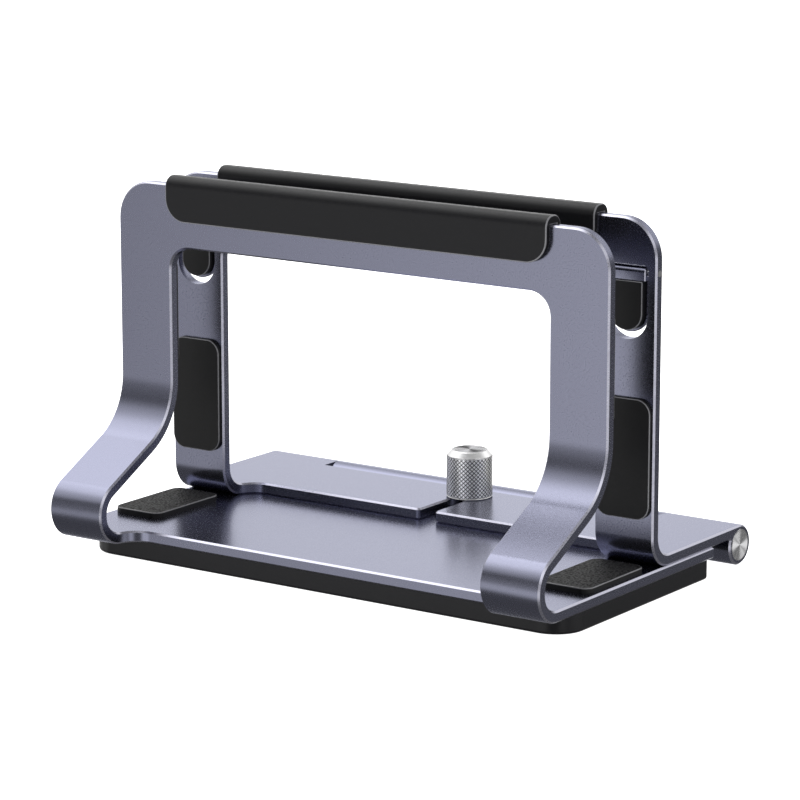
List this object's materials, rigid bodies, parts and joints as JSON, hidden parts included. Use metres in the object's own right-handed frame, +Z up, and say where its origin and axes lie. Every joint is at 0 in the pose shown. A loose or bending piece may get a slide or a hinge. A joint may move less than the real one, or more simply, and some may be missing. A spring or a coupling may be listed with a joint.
{
  "type": "vertical laptop stand",
  "caption": "Adjustable stand of two bent metal frames that hold a closed laptop upright between padded beams, clamped by a knurled thumb screw.",
  "frame": {"origin": "on the desk, under the middle of the stand's width and depth at rest", "axes": "+X along the beams, +Y from the front frame to the rear frame, +Z up"},
  "size_m": [0.2, 0.1347, 0.1313],
  "materials": {
    "anodised_aluminium": "satin, bead-blasted and anodised space grey",
    "base_rubber": "matt black rubber",
    "saddle_silicone": "satin black silicone",
    "pad_rubber": "matt black rubber with a fine texture",
    "knurled_steel": "bright nickel-plated steel, diamond knurl",
    "turned_steel": "bright turned steel"
  },
  "bodies": {
    "base": {"front_frame": "anodised_aluminium", "base_pad": "base_rubber", "front_saddle": "saddle_silicone", "front_leg_pad_left": "pad_rubber", "front_leg_pad_right": "pad_rubber", "rest_pad_left": "pad_rubber", "rest_pad_right": "pad_rubber", "clinch_nut": "turned_steel"},
    "sliding_frame": {"rear_frame": "anodised_aluminium", "rear_saddle": "saddle_silicone", "rear_leg_pad_left": "pad_rubber", "rear_leg_pad_right": "pad_rubber", "hook_pin_left": "turned_steel", "hook_pin_right": "turned_steel", "barrel_pin": "turned_steel", "barrel_cap_left": "turned_steel", "barrel_cap_right": "turned_steel"},
    "clamp_screw": {"thumb_screw": "knurled_steel"},
    "left_hook": {"hook_flap_left": "anodised_aluminium", "hook_rubber_left": "pad_rubber"},
    "right_hook": {"hook_flap_right": "anodised_aluminium", "hook_rubber_right": "pad_rubber"},
    "sleeve": {"barrel_sleeve": "anodised_aluminium"}
  },
  "joints": [
    {"name": "frame_slide", "type": "slide", "parent": "base", "child": "sliding_frame", "axis": [0, 1, 0], "range_m": [-0.003, 0.016]},
    {"name": "screw_turn", "type": "hinge", "parent": "base", "child": "clamp_screw", "pos_m": [0, 0.04325, 0.015], "axis": [0, 0, 1], "continuous": true},
    {"name": "left_hook_hinge", "type": "hinge", "parent": "sliding_frame", "child": "left_hook", "pos_m": [-0.08875, 0.00375, 0.11035], "axis": [-1, 0, 0], "range_deg": [0, 90]},
    {"name": "right_hook_hinge", "type": "hinge", "parent": "sliding_frame", "child": "right_hook", "pos_m": [0.08875, 0.00375, 0.11035], "axis": [-1, 0, 0], "range_deg": [0, 90]},
    {"name": "sleeve_turn", "type": "hinge", "parent": "sliding_frame", "child": "sleeve", "pos_m": [0, 0.06035, 0.008], "axis": [1, 0, 0], "continuous": true}
  ]
}
